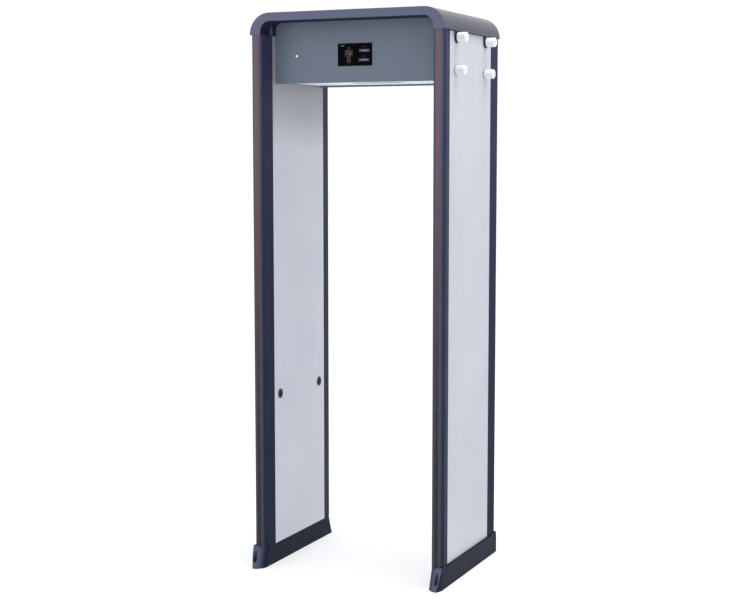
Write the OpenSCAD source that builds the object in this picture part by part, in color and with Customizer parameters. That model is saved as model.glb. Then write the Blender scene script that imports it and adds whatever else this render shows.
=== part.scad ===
// Walk-through security gate: two sensing legs bridged by a rounded cap and a control header.
// X runs across the passage, Y from the front to the rear and Z up.
// The origin is on the floor, at the middle of the passage. Millimetres.

/* [Overall] */
// Width over the noses of the posts
gate_w = 824; // [780:1:1000]
// Depth over the noses of the posts
gate_d = 616; // [540:1:760]
// Height from the floor to the top of the cap
gate_h = 2230; // [2050:1:2700]

/* [Posts] */
// Thickness of a post across its half-round nose
post_t = 50; // [44:1:60]
// Length of a post from the tip of its nose to the end of its flanges
post_len = 81; // [72:1:98]
// Wall of the post extrusion
post_wall = 2.5; // [2:0.1:3]
// Width of the light groove in the nose
groove_w = 15; // [12:0.5:18]
// Depth of the light groove
groove_deep = 8; // [7:0.5:10]
// Thickness of the light strip's board
strip_t = 1.6; // [1:0.2:2]
// Distance between two lights on a strip
light_pitch = 98; // [60:1:150]

/* [Leg core] */
// Thickness of a leg between its two panel faces
core_t = 48; // [46:1:56]
// How much nearer the passage the core sits than the posts
core_shift = 8; // [2:0.5:9]
// Thickness of an inner or outer panel
board_t = 3; // [2:0.5:4]
// Side of the square coil winding
coil_t = 12; // [8:1:14]
// Distance from the edges of the core board to the coil
coil_margin = 22; // [18:1:40]
// Corner radius of the coil
coil_r = 30; // [24:1:60]

/* [Base] */
// Height of a shoe's top face, where the leg stands
shoe_h = 82; // [70:1:100]
// Height of the collars round the noses above that face
collar_h = 6; // [3:1:10]
// Wall of the collars beside the posts
collar_wall = 2; // [1.5:0.5:4]
// How far a toe runs past the nose of its post at the floor
toe_run = 35; // [32:1:42]
// Slope of a toe's front away from upright, in degrees
toe_slope = 20; // [16:1:21]
// Radius of the sweep from a shoe's inner side to its tip
toe_r = 48; // [44:1:52]
// How far outward of the post's centre an anchor hole sits
toe_out = 10; // [6:1:12]
// Radius of the floor anchor holes
anchor_r = 4.5; // [4:0.5:5]
// Radius of the drop-shaped pocket over an anchor hole
pocket_r = 7.5; // [6.5:0.25:8]
// Height of the pocket's floor
pocket_z = 15; // [10:1:20]
// Distance from the tip of a toe back to the anchor hole
anchor_in = 17; // [16:0.5:19]

/* [Cap] */
// Depth of the cap from the top down to its lower edge
cap_drop = 85; // [78:1:110]
// Radius of the cap's outer corners
cap_r = 84; // [60:1:84]
// Thickness of the cap across the top
cap_rim = 32.5; // [26:0.5:40]
// Thickness of the cap's legs at its front and rear faces
cap_leg = 46; // [44:1:50]
// Radius of the arch's inner corners
cap_in_r = 40; // [20:1:44]
// How far the cap stands out past the posts at each side
cap_out = 1; // [0.5:0.5:4]
// How far the cap's faces sit back from the noses
cap_back = 2; // [0:0.5:6]
// Wall of the cap moulding
cap_wall = 3; // [2:0.5:4]

/* [Header] */
// Depth of the header over its two plates
header_d = 400; // [360:1:430]
// Distance from the top of the cap down to the header's lower edge
header_drop = 272.5; // [262:0.5:320]
// Thickness of the header's plates
plate_t = 3; // [2:0.5:4]
// How far the underside tray sits above the plates' lower edges
tray_lift = 7.5; // [5:0.5:12]
// Thickness of the tray and of the hatch
tray_t = 2; // [1.5:0.5:3]
// Width of the screen's opening
screen_w = 148; // [120:1:180]
// Height of the screen's opening
screen_h = 88; // [70:1:100]
// Place of the screen's centre across the gate
screen_x = -4.5; // [-40:0.5:40]
// Height of the screen's centre above the header's lower edge
screen_z = 107.5; // [90:0.5:120]
// Width of the bezel's lip round the screen
bezel_lip = 5; // [3:0.5:8]
// Radius of the status light
status_r = 5.5; // [4:0.5:7]
// Place of the status light across the gate
status_x = -260; // [-280:1:-160]

/* [Hatch] */
// Width of the hatch across the gate
hatch_w = 225; // [180:1:240]
// Depth of the hatch from front to rear
hatch_d = 90; // [76:1:110]
// Place of the hatch's centre across the gate
hatch_x = -10; // [-20:1:20]
// Place of the hatch's centre from front to rear
hatch_y = 40; // [20:1:44]
// Radius of the hinge pin
pin_r = 1.5; // [1.5:0.1:2]
// Radius of the lock's barrel
lock_r = 8; // [6:0.5:9]

/* [Knobs] */
// Diameter of a hand knob
knob_d = 37; // [34:1:44]
// Length of a hand knob
knob_len = 38; // [34:1:50]
// Thickness of the pads under the upper knobs
pad_t = 5.5; // [5:0.5:9]
// Distance between the front and rear knobs
knob_pitch_y = 320; // [240:1:340]
// Distance between the upper and lower knobs
knob_pitch_z = 125; // [100:1:140]
// Distance from the top of the cap down to the upper knobs
knob_drop = 108; // [108:1:130]
// Radius of the header's studs
stud_r = 4; // [3:0.5:5]
// Radius of the dimple hole in a knob's end
dimple_r = 3.2; // [2.5:0.1:3.2]

/* [Sensors] */
// Diameter of a sensor window's bezel
window_d = 40; // [34:1:44]
// Distance between the front and rear windows
window_pitch = 356; // [300:1:360]
// Height of the windows above the floor
window_z = 700; // [500:1:1200]

/* [Fits] */
// Gap between pieces that are joined but must go together by hand
gap = 0.5; // [0.3:0.1:0.8]
// Gap between pieces that move past each other
slack = 0.4; // [0.3:0.1:0.6]
// Radial clearance of a turning fit
turn_fit = 0.06; // [0.03:0.01:0.1]

/* [Hidden] */

round_fn = 64;
past = 1;                                      // how far a cutting shape runs past a face
nose_r = post_t / 2;
leg_x = gate_w / 2 - nose_r;                   // centre plane of a leg's posts
nose_y = gate_d / 2 - nose_r;                  // centre of a nose
flange_y = gate_d / 2 - post_len;              // where the flanges end and the core begins
core_in = leg_x - core_shift - core_t / 2;     // face of the inner panel
core_out = core_in + core_t;                   // face of the outer panel
cap_z = gate_h - cap_drop;                     // lower edge of the cap
cap_x = gate_w / 2 + cap_out;
cap_y = gate_d / 2 - cap_back;
arch_x = cap_x - cap_leg;                      // inner face of the cap's legs
arch_z = gate_h - cap_rim;                     // underside of the cap
cheek_x = core_in - 1;                         // the cap's cheeks over the tops of the inner panels
panel_z = shoe_h + 1;                          // lower edge of the panels
panel_top = cap_z - gap;
header_z = gate_h - header_drop;
header_x = cheek_x - gap;
header_y = header_d / 2;
header_top = arch_z - gap;
header_r = header_x - arch_x + cap_in_r;       // the plates' upper corners, inside the arch's
end_top = arch_z - cap_in_r + sqrt(pow(cap_in_r, 2) - pow(header_r, 2)) - gap;
tray_z = header_z + tray_lift;
tray_top = tray_z + tray_t;
knob_zs = [gate_h - knob_drop, gate_h - knob_drop - knob_pitch_z];
washer_t = 1.5;
shoe_in = leg_x - nose_r - 2 * collar_wall;
shoe_out = leg_x + nose_r + collar_wall;
toe_y = gate_d / 2 + toe_run;                  // tip of a toe
anchor_y = toe_y - anchor_in;
anchor_x = leg_x + toe_out;
circuit_t = 1.6;                               // thickness of a circuit board

// A rectangle with four round corners, centred across and standing on its lower edge
module round_rect(w, h, r) {
    translate([-w / 2, r]) square([w, h - 2 * r]);
    translate([-w / 2 + r, 0]) square([w - 2 * r, h]);
    for (x = [-1, 1], y = [r, h - r]) translate([x * (w / 2 - r), y]) circle(r = r, $fn = round_fn);
}

// A rectangle with its two upper corners round
module arch(w, h, r) {
    intersection() {
        translate([-w / 2, 0]) square([w, h]);
        union() {
            translate([-w / 2, 0]) square([w, h - r]);
            translate([-w / 2 + r, 0]) square([w - 2 * r, h]);
            for (x = [-1, 1]) translate([x * (w / 2 - r), h - r]) circle(r = r, $fn = round_fn);
        }
    }
}

// Turns a flat outline drawn in X and Z into a slab that is deep in Y and centred on it
module slab_y(deep) {
    translate([0, deep / 2, 0]) rotate([90, 0, 0]) linear_extrude(deep) children();
}

// Turns a flat outline drawn in Y and Z into a slab from x, thick in X
module slab_x(x, thick) {
    translate([x, 0, 0]) rotate([90, 0, 90]) linear_extrude(thick) children();
}

// A cylinder that lies along X from x
module rod_x(x, y, z, r, len) {
    translate([x, y, z]) rotate([0, 90, 0]) cylinder(r = r, h = len, $fn = round_fn);
}

// A cylinder that lies along Y from y
module rod_y(x, y, z, r, len) {
    translate([x, y, z]) rotate([-90, 0, 0]) cylinder(r = r, h = len, $fn = round_fn);
}

// Everything in a leg is drawn at the right front; side is 1 right, -1 left, face is -1 front, 1 rear
module place(side, face = -1) {
    mirror([side < 0 ? 1 : 0, 0, 0]) mirror([0, face > 0 ? 1 : 0, 0]) children();
}

// ---- posts and lights
module post_outline(inset) {
    r = nose_r - inset;
    end_y = -flange_y - inset;
    translate([leg_x, -nose_y]) circle(r = r, $fn = round_fn);
    polygon([[leg_x + r, -nose_y], [core_out - inset, end_y], [core_in + inset, end_y],
        [leg_x - r, -nose_y]]);
}

module groove_box(side_gap, deep) {
    translate([leg_x - groove_w / 2 + side_gap, -gate_d / 2 - past])
        square([groove_w - 2 * side_gap, deep + past]);
}

module post(side, face) {
    color("#4a4f68") place(side, face) translate([0, 0, shoe_h]) linear_extrude(cap_z - shoe_h)
        difference() {
            post_outline(0);
            difference() {
                post_outline(post_wall);
                groove_box(-post_wall, groove_deep + post_wall);
            }
            groove_box(0, groove_deep);
        }
}

module light_lens(side, face) {
    color("#7c5a5e") place(side, face) translate([0, 0, shoe_h + gap])
        linear_extrude(cap_z - shoe_h - 2 * gap) difference() {
            intersection() {
                translate([leg_x, -nose_y]) circle(r = nose_r, $fn = round_fn);
                groove_box(0, groove_deep / 2);
            }
            // channel along the back of the lens
            translate([leg_x - groove_w / 4, -gate_d / 2 + groove_deep / 4])
                square([groove_w / 2, groove_deep]);
        }
}

module light_strips(side) {
    light = [5, strip_t, 5];
    strip_w = groove_w - 4;
    strip_y = -gate_d / 2 + groove_deep - strip_t;
    strip_h = cap_z - shoe_h - 4 * gap;
    lights = floor((strip_h - light[2]) / light_pitch);
    for (face = [-1, 1]) place(side, face) {
        color("#e8e8e4") translate([leg_x - strip_w / 2, strip_y, shoe_h + 2 * gap])
            cube([strip_w, strip_t, strip_h]);
        color("#d9c56a") for (i = [0:lights])
            translate([leg_x - light[0] / 2, strip_y - light[1], shoe_h + light_pitch * (i + 0.5)])
                cube(light);
    }
}

// ---- leg core
module stud_holes(r) {
    for (y = [-1, 1], z = knob_zs)
        rod_x(core_in - pad_t - past, y * knob_pitch_y / 2, z, r, core_t + 2 * pad_t + 2 * past);
}

plug_r = 9;                                    // connector between the header and a leg
plug_z = knob_zs[1] + knob_pitch_z / 2;
plug_len = 26;
stud_gap = 1;

module inner_panel(side) {
    color("#c9cdd6") place(side) difference() {
        translate([core_in, -flange_y + gap, panel_z])
            cube([board_t, 2 * (flange_y - gap), panel_top - panel_z]);
        stud_holes(stud_r + stud_gap);
        for (y = [-1, 1]) rod_x(core_in - past, y * window_pitch / 2, window_z, window_r + gap, board_t + 2 * past);
        rod_x(core_in - past, 0, plug_z, plug_r + gap, board_t + 2 * past);
    }
}

module outer_panel(side) {
    color("#d3d7e0") place(side) difference() {
        translate([core_out - board_t, -flange_y + gap, panel_z])
            cube([board_t, 2 * (flange_y - gap), panel_top - panel_z]);
        stud_holes(stud_r + stud_gap);
    }
}

board_in = core_in + board_t;                  // faces of the core board
board_out = core_out - board_t;
board_y = flange_y;
coil_gap = 1;
coil_top = knob_zs[0] - stud_r - stud_gap - 2 * coil_gap;
coil_h = coil_top - panel_z - coil_margin;
coil_w = 2 * (board_y - coil_margin);
window_r = window_d / 2 - 4;                   // sleeve of a bezel
module_r = window_r + 1;
module_len = 18;

module coil_ring(slop) {
    translate([0, panel_z + coil_margin]) difference() {
        translate([0, -slop]) round_rect(coil_w + 2 * slop, coil_h + 2 * slop, coil_r + slop);
        translate([0, coil_t + slop])
            round_rect(coil_w - 2 * (coil_t + slop), coil_h - 2 * (coil_t + slop), coil_r - coil_t - slop);
    }
}

tail_r = 3;
coil_x = board_out - coil_t - coil_gap;        // near face of the winding
tail_top = panel_z + coil_margin + coil_h - coil_t;

// Cells through the core that leave ribs between them
module core_cells() {
    cells = 7;
    rib = 26;
    edge = module_r + 12;
    low = panel_z + coil_margin + coil_t + edge;
    high = knob_zs[1] - 2 * edge;
    rise = (high - low) / cells;
    half_y = window_pitch / 2 - edge;
    for (i = [0:cells - 1]) translate([board_in - past, -half_y, low + i * rise])
        cube([core_t, 2 * half_y, rise - rib]);
}

module core_board(side) {
    slot_w = 2 * (tail_r + coil_gap);
    color("#b9a37c") place(side) difference() {
        translate([board_in, -board_y, shoe_h]) cube([board_out - board_in, 2 * board_y, panel_top - shoe_h]);
        slab_x(coil_x - coil_gap, coil_t + 2 * coil_gap + past) coil_ring(coil_gap);
        stud_holes(stud_r + stud_gap);
        for (y = [-1, 1]) rod_x(board_in - past, y * window_pitch / 2, window_z, module_r + gap, module_len + past);
        rod_x(board_in - past, 0, plug_z, plug_r + gap, plug_len - board_t + past);
        rod_x(board_in, 0, plug_z, tail_r + coil_gap, coil_x - board_in);
        core_cells();
        // slot for the coil's tail
        translate([board_out - coil_t - 2 * coil_gap, -slot_w / 2, plug_z - plug_r])
            cube([coil_t + 3 * coil_gap, slot_w, tail_top - plug_z + plug_r + past]);
    }
}

module coil(side) {
    tail_x = coil_x + coil_t / 2;
    color("#b46a3a") place(side) {
        slab_x(coil_x, coil_t) coil_ring(0);
        translate([tail_x, 0, plug_z]) cylinder(r = tail_r, h = tail_top - plug_z + past, $fn = round_fn);
        rod_x(core_in + plug_len, 0, plug_z, tail_r, tail_x - core_in - plug_len);
    }
}

module leg_connectors() {
    nut_r = plug_r + 3;
    nut_len = 6;
    color("#2b2d33") for (side = [-1, 1]) place(side) difference() {
        union() {
            rod_x(header_x - plate_t - nut_len, 0, plug_z, plug_r, core_in + plug_len - header_x + plate_t + nut_len);
            rod_x(header_x - plate_t - nut_len, 0, plug_z, nut_r, nut_len);
        }
        rod_x(header_x - plate_t - nut_len - past, 0, plug_z, harness_r + gap / 2, plug_len);
    }
}

// ---- sensor windows
window_lip = 1.5;
lens_r = window_r - 3;

module sensor_places() {
    for (side = [-1, 1], face = [-1, 1]) place(side, face) translate([core_in, -window_pitch / 2, window_z])
        rotate([0, 90, 0]) children();
}

module sensor_bezels() {
    color("#23252b") sensor_places() difference() {
        union() {
            translate([0, 0, -window_lip]) cylinder(r = window_d / 2, h = window_lip, $fn = round_fn);
            cylinder(r = window_r, h = board_t, $fn = round_fn);
        }
        translate([0, 0, -window_lip - past]) cylinder(r = lens_r, h = window_lip + board_t + 2 * past, $fn = round_fn);
    }
}

module sensor_lenses() {
    dome = 1;
    color("#14151a") sensor_places() rotate_extrude($fn = round_fn)
        polygon([[0, -window_lip], [lens_r - dome, -window_lip], [lens_r, -window_lip + dome],
            [lens_r, board_t], [0, board_t]]);
}

module sensor_modules(side) {
    color("#2f6b4a") for (face = [-1, 1]) place(side, face)
        rod_x(board_in, -window_pitch / 2, window_z, module_r, module_len - 4);
    color("#101114") for (face = [-1, 1]) place(side, face)
        rod_x(board_in + module_len - 4, -window_pitch / 2, window_z, module_r / 2, 4);
}

// ---- base
spigot = [24, 28, 70];
spigot_x = core_in + (leg_x - core_in) - spigot[0] / 2 - core_shift / 2;
spigot_y = -(flange_y + 14 + spigot[1]);
screw_r = 4;

// Outline of a shoe on the floor, before its toes lean: the outer side bends in towards each tip
module shoe_plan() {
    corner_r = 75;
    corner_y = toe_y - 43;
    for (y = [0, 1]) mirror([0, y]) intersection() {
        translate([shoe_in, -toe_y]) square([shoe_out - shoe_in, toe_y + past]);
        union() {
            translate([shoe_in, -corner_y]) square([shoe_out - shoe_in, corner_y + past]);
            translate([shoe_out - corner_r, -corner_y]) circle(r = corner_r, $fn = round_fn);
        }
    }
}

// Outline of the pocket, drawn out to a point towards the post
module pocket_plan() {
    point = 1.5 * pocket_r;
    side_y = pocket_r * pocket_r / point;
    side_x = sqrt(pow(pocket_r, 2) - pow(side_y, 2));
    translate([anchor_x, -anchor_y]) {
        circle(r = pocket_r, $fn = round_fn);
        polygon([[0, point], [-side_x, side_y], [side_x, side_y]]);
    }
}

// Leaning body of a toe: its round front sweeps from the inner side out to the tip
module toe_lean() {
    reach = 2 * shoe_h;
    bite = 1;                                  // the sweep crosses the inner side by this much
    translate([shoe_in, -toe_y, 0]) rotate([-toe_slope, 0, 0]) translate([0, toe_r, -reach]) {
        translate([toe_r - bite, 0, 0]) cylinder(r = toe_r, h = 2 * reach, $fn = round_fn);
        cube([shoe_out - shoe_in, gate_d / 2, 2 * reach]);
    }
}

module base_shoe(side) {
    wall = 4;
    bays = 4;
    bay_y = 2 * (nose_y - wall) / bays;
    lid = 6;
    rim_z = shoe_h + collar_h;
    collar_y = nose_y - 20;                    // the collars start here and run round the noses
    color("#2f3349") place(side) difference() {
        intersection() {
            linear_extrude(rim_z) shoe_plan();
            union() {
                translate([shoe_in, -collar_y, 0]) cube([shoe_out - shoe_in, 2 * collar_y, shoe_h]);
                for (face = [-1, 1]) mirror([0, face > 0 ? 1 : 0, 0]) intersection() {
                    toe_lean();
                    translate([shoe_in, -gate_d, 0]) cube([shoe_out - shoe_in, gate_d - collar_y, rim_z]);
                }
            }
        }
        for (face = [-1, 1]) mirror([0, face > 0 ? 1 : 0, 0]) {
            // seat of the post inside its collar
            translate([0, 0, shoe_h]) linear_extrude(collar_h + past) post_outline(0);
            translate([anchor_x, -anchor_y, -past]) cylinder(r = anchor_r, h = pocket_z + 2 * past, $fn = round_fn);
            translate([0, 0, pocket_z]) linear_extrude(shoe_h) pocket_plan();
            translate([spigot_x + spigot[0] / 2, spigot_y + spigot[1] / 2, 0])
                cylinder(r = screw_r + gap, h = gate_h, $fn = round_fn);
        }
        // bays under the top face, open to the floor
        for (i = [0:bays - 1])
            translate([shoe_in + wall, -nose_y + wall + i * bay_y + wall / 2, -past])
                cube([shoe_out - shoe_in - 2 * wall, bay_y - wall, shoe_h - lid + past]);
    }
}

module foot_spigots() {
    color("#9aa0a8") for (side = [-1, 1], face = [-1, 1]) place(side, face) difference() {
        translate([spigot_x, spigot_y, shoe_h]) cube(spigot);
        translate([spigot_x + spigot[0] / 2, spigot_y + spigot[1] / 2, shoe_h - past])
            cylinder(r = screw_r, h = 30 + past, $fn = round_fn);
    }
}

module spigot_screws() {
    head_r = 7;
    head_h = 5;
    lid = 6;
    color("#8d9096") for (side = [-1, 1], face = [-1, 1]) place(side, face)
        translate([spigot_x + spigot[0] / 2, spigot_y + spigot[1] / 2, shoe_h - lid - head_h]) {
            cylinder(r = head_r, h = head_h, $fn = round_fn);
            cylinder(r = screw_r, h = head_h + lid + 24, $fn = round_fn);
        }
}

// ---- cap
module cap_section(inset, floor_z) {
    translate([0, floor_z]) difference() {
        arch(2 * (cap_x - inset), gate_h - inset - floor_z, cap_r - inset);
        translate([0, -past]) arch(2 * (arch_x + inset), arch_z + inset - floor_z + past, cap_in_r + inset);
    }
}

module top_cap() {
    cheek_y = flange_y + 2;
    color("#5b5f7d") difference() {
        union() {
            slab_y(2 * cap_y) cap_section(0, cap_z);
            for (side = [-1, 1]) place(side) translate([cheek_x, -cheek_y, cap_z])
                cube([arch_x + cap_wall - cheek_x, 2 * cheek_y, arch_z - cap_z + cap_wall]);
        }
        // hollow of the moulding, open below over the posts
        slab_y(2 * (cap_y - cap_wall)) cap_section(cap_wall, cap_z - past);
        for (side = [-1, 1]) place(side) translate([cheek_x + cap_wall, -cheek_y + cap_wall, cap_z - past])
            cube([arch_x + cap_wall - cheek_x, 2 * (cheek_y - cap_wall), arch_z - cap_z + past]);
    }
    // bosses that stand on the spigots
    color("#5b5f7d") intersection() {
        slab_y(2 * cap_y) arch_solid();
        for (side = [-1, 1], face = [-1, 1]) place(side, face)
            translate([spigot_x, spigot_y, cap_z]) cube([spigot[0], spigot[1], cap_drop]);
    }
}

module arch_solid() {
    translate([0, cap_z]) arch(2 * (cap_x - 1), cap_drop - 1, cap_r - 1);
}

module top_spigots() {
    color("#9aa0a8") for (side = [-1, 1], face = [-1, 1]) place(side, face)
        translate([spigot_x, spigot_y, cap_z - spigot[2]]) cube(spigot);
}

// ---- header
module header_plate() {
    slab_y(plate_t) translate([0, header_z]) arch(2 * header_x, header_top - header_z, header_r);
}

module header_front_plate() {
    color("#6a7487") difference() {
        translate([0, plate_t / 2 - header_y, 0]) header_plate();
        translate([screen_x - screen_w / 2, -header_y - past, header_z + screen_z - screen_h / 2])
            cube([screen_w, plate_t + 2 * past, screen_h]);
        rod_y(status_x, -header_y - past, header_z + screen_z, status_r + 0.1, plate_t + 2 * past);
    }
}

inlet_x = 250;
inlet_z = header_z + 70;
inlet_w = 48;
inlet_h = 28;
rocker_x = inlet_x - 60;
rocker_w = 22;
rocker_h = 28;

module header_rear_plate() {
    color("#6a7487") difference() {
        translate([0, header_y - plate_t / 2, 0]) header_plate();
        translate([inlet_x - inlet_w / 2, header_y - plate_t - past, inlet_z - inlet_h / 2])
            cube([inlet_w, plate_t + 2 * past, inlet_h]);
        translate([rocker_x - rocker_w / 2, header_y - plate_t - past, inlet_z - rocker_h / 2])
            cube([rocker_w, plate_t + 2 * past, rocker_h]);
    }
}

hatch_gap = 1;
hinge_up = pin_r + 2.2;                        // hinge axis above the tray
knuckle_r = pin_r + 1.7;
edge_run = 4;                                  // hatch edge behind the hinge axis
hinge_y = hatch_y + hatch_d / 2 - edge_run;
hinge_z = tray_top + hinge_up;
// the hatch's rear corner swings past the tray's edge on this radius
swing_r = sqrt(pow(edge_run, 2) + pow(hinge_up + tray_t, 2));
edge_gap = sqrt(pow(swing_r, 2) - pow(hinge_up, 2)) - edge_run + slack;
knuckle_len = 24;
knuckle_xs = [-0.32, 0.32] * hatch_w;
lug_w = 8;
lug_xs = [for (k = knuckle_xs, e = [-1, 1])
    hatch_x + k + e * (knuckle_len / 2 + slack + lug_w / 2) - lug_w / 2];

module header_tray() {
    rim = 14;
    inner_y = header_y - plate_t;
    inner_x = header_x - plate_t - gap;
    color("#dfe1e6") difference() {
        union() {
            translate([-inner_x, -inner_y, tray_z]) cube([2 * inner_x, 2 * inner_y, tray_t]);
            for (y = [-inner_y, inner_y - tray_t])
                translate([-inner_x, y, tray_z]) cube([2 * inner_x, tray_t, rim]);
            // hinge lugs beside the hatch's knuckles
            for (x = lug_xs) {
                rod_x(x, hinge_y, hinge_z, knuckle_r, lug_w);
                translate([x, hinge_y, tray_top]) cube([lug_w, edge_run + edge_gap + 6, hinge_up]);
            }
        }
        translate([hatch_x - hatch_w / 2 - hatch_gap, hatch_y - hatch_d / 2 - hatch_gap, tray_z - past])
            cube([hatch_w + 2 * hatch_gap, hatch_d + hatch_gap + edge_gap, tray_t + past]);
        rod_x(hatch_x - hatch_w / 2, hinge_y, hinge_z, pin_r, hatch_w);
    }
}

lock_y = hatch_y - hatch_d / 2 + 18;
tongue = [34, 12, 2.5];

module service_hatch() {
    color("#c4c8d0") difference() {
        union() {
            translate([hatch_x - hatch_w / 2, hatch_y - hatch_d / 2, tray_z]) cube([hatch_w, hatch_d, tray_t]);
            for (k = knuckle_xs) {
                rod_x(hatch_x + k - knuckle_len / 2, hinge_y, hinge_z, knuckle_r, knuckle_len);
                translate([hatch_x + k - knuckle_len / 2, hinge_y - knuckle_r, tray_top])
                    cube([knuckle_len, knuckle_r, hinge_up]);
            }
        }
        rod_x(hatch_x - hatch_w / 2, hinge_y, hinge_z, pin_r + turn_fit, hatch_w);
        translate([hatch_x, lock_y, tray_z - past]) cylinder(r = lock_r + turn_fit, h = tray_t + 2 * past, $fn = round_fn);
        // notches that clear the tray's lugs as the hatch swings
        for (x = lug_xs) translate([x - slack, hinge_y - swing_r - slack, tray_z - past])
            cube([lug_w + 2 * slack, swing_r + edge_run + past, tray_t + 2 * past]);
    }
}

module hatch_pin() {
    color("#b0b3b8") for (k = knuckle_xs)
        rod_x(hatch_x + k - knuckle_len / 2 - 8, hinge_y, hinge_z, pin_r, knuckle_len + 16);
}

module hatch_lock() {
    head_t = 1.5;
    slot = [12, 2, 1];
    color("#8f949c") translate([hatch_x, lock_y, 0]) difference() {
        union() {
            translate([0, 0, tray_z - slack - head_t]) cylinder(r = lock_r + 3, h = head_t, $fn = round_fn);
            translate([0, 0, tray_z - slack]) cylinder(r = lock_r, h = tray_t + 2 * slack, $fn = round_fn);
            // the tongue lies along the hatch at rest and reaches over the tray when it is turned
            translate([tongue[1] / 2 - tongue[0], -tongue[1] / 2, tray_top + slack]) cube(tongue);
        }
        translate([-slot[0] / 2, -slot[1] / 2, tray_z - slack - head_t - past])
            cube([slot[0], slot[1], slot[2] + past]);
    }
}

module header_end(side) {
    foot = 14;
    boss_r = 12;
    end_y = header_y - plate_t;
    color("#9196a1") place(side) difference() {
        union() {
            translate([header_x - plate_t, -end_y, tray_top])
                cube([plate_t, 2 * end_y, end_top - tray_top]);
            translate([header_x - foot, -end_y + 20, end_top - plate_t])
                cube([foot, 2 * (end_y - 20), plate_t]);
            // bosses that bear on the inner panel when the knobs are tight
            for (y = [-1, 1], z = knob_zs)
                rod_x(header_x - plate_t / 2, y * knob_pitch_y / 2, z, boss_r, core_in - header_x + plate_t / 2);
        }
        for (y = [-1, 1], z = knob_zs)
            rod_x(header_x - plate_t - past, y * knob_pitch_y / 2, z, stud_r, core_in - header_x + plate_t + 2 * past);
        rod_x(header_x - plate_t - past, 0, plug_z, plug_r + gap / 2, plate_t + 2 * past);
    }
}

// ---- studs, pads, washers and knobs
knob_gap = 0.3;
seat_xs = [core_out + pad_t, core_out];        // what the upper and the lower knobs bear on
knob_xs = [for (x = seat_xs) x + washer_t + knob_gap];
stud_end = knob_xs[1] + knob_len * 0.6;

module header_studs() {
    head_t = 6;
    color("#a9adb3") for (side = [-1, 1], face = [-1, 1], z = knob_zs) place(side, face) {
        rod_x(header_x - plate_t - head_t, -knob_pitch_y / 2, z, stud_r * 2, head_t);
        rod_x(header_x - plate_t, -knob_pitch_y / 2, z, stud_r, stud_end - header_x + plate_t);
    }
}

module clamp_pads() {
    pad_r = knob_d / 2 + 4;
    z = knob_zs[0];
    color("#15161b") for (side = [-1, 1], face = [-1, 1]) place(side, face)
        translate([0, -knob_pitch_y / 2, 0]) difference() {
            union() {
                rod_x(core_out, 0, z, pad_r, pad_t);
                translate([core_out, -pad_r, z]) cube([pad_t, 2 * pad_r, cap_z - gap - z]);
            }
            translate([core_out - past, -pad_r - past, cap_z - gap]) cube([pad_t + 2 * past, 2 * pad_r + 2 * past, 2 * pad_r]);
            rod_x(core_out - past, 0, z, stud_r + stud_gap, pad_t + 2 * past);
        }
}

module knob_washers() {
    washer_r = knob_d / 2 - 2;
    color("#3a3d45") for (side = [-1, 1], face = [-1, 1], i = [0, 1]) place(side, face) difference() {
        rod_x(seat_xs[i], -knob_pitch_y / 2, knob_zs[i], washer_r, washer_t);
        rod_x(seat_xs[i] - past, -knob_pitch_y / 2, knob_zs[i], stud_r + 0.3, washer_t + 2 * past);
    }
}

module knob(side, row, face) {
    r = knob_d / 2;
    soft = 3;
    bore_len = knob_len * 0.72;
    color("#eef0f4") place(side, face) translate([knob_xs[row], -knob_pitch_y / 2, knob_zs[row]])
        rotate([0, 90, 0]) rotate_extrude($fn = round_fn)
            polygon([[stud_r + turn_fit, 0], [r - soft / 2, 0], [r, soft / 2], [r, knob_len - soft],
                [r - soft, knob_len], [dimple_r, knob_len], [dimple_r, bore_len],
                [stud_r + turn_fit, bore_len]]);
}

// ---- screen and status light
glass_t = 2;
bezel_t = 3.5;

module screen_bezel() {
    in_w = screen_w - 2 * bezel_lip;
    in_h = screen_h - 2 * bezel_lip;
    color("#17181d") translate([screen_x, -header_y, header_z + screen_z]) difference() {
        translate([-screen_w / 2, -1, -screen_h / 2]) cube([screen_w, plate_t + bezel_t, screen_h]);
        translate([-in_w / 2, -1 - past, -in_h / 2]) cube([in_w, plate_t + bezel_t + 2 * past, in_h]);
    }
}

module screen_glass() {
    in_w = screen_w - 2 * bezel_lip;
    in_h = screen_h - 2 * bezel_lip;
    color("#05060a") translate([screen_x - in_w / 2, -header_y - 0.5, header_z + screen_z - in_h / 2])
        cube([in_w, glass_t, in_h]);
}

module display_module() {
    in_w = screen_w - 2 * bezel_lip - 2;
    in_h = screen_h - 2 * bezel_lip - 2;
    color("#3d4148") translate([screen_x - in_w / 2, -header_y - 0.5 + glass_t, header_z + screen_z - in_h / 2])
        cube([in_w, 9, in_h]);
}

module status_light() {
    color("#f4f6fa") translate([status_x, -header_y, header_z + screen_z]) rotate([-90, 0, 0])
        rotate_extrude($fn = round_fn)
            polygon([[0, -2], [status_r * 0.6, -1.6], [status_r, 0], [status_r, plate_t],
                [status_r + 2, plate_t], [status_r + 2, plate_t + 2], [status_r, plate_t + 2],
                [status_r, plate_t + 8], [0, plate_t + 8]]);
}

// ---- electronics behind the rear half of the hatch
chassis_y = 110;
chassis_t = 2;
chassis_w = 560;
chassis_h = 150;
board_gap = 8;
board_w = 230;
board_h = 110;
board_x = -40;
board_z = tray_top + 22;

module control_chassis() {
    foot = 24;
    color("#b3b7bd") {
        translate([-chassis_w / 2, chassis_y, tray_top]) cube([chassis_w, chassis_t, chassis_h]);
        translate([-chassis_w / 2, chassis_y, tray_top]) cube([chassis_w, foot, chassis_t]);
        // standoffs of the main board
        for (x = [8, board_w - 8], z = [8, board_h - 8])
            rod_y(board_x + x, chassis_y - board_gap, board_z + z, 3, board_gap);
    }
}

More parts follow.
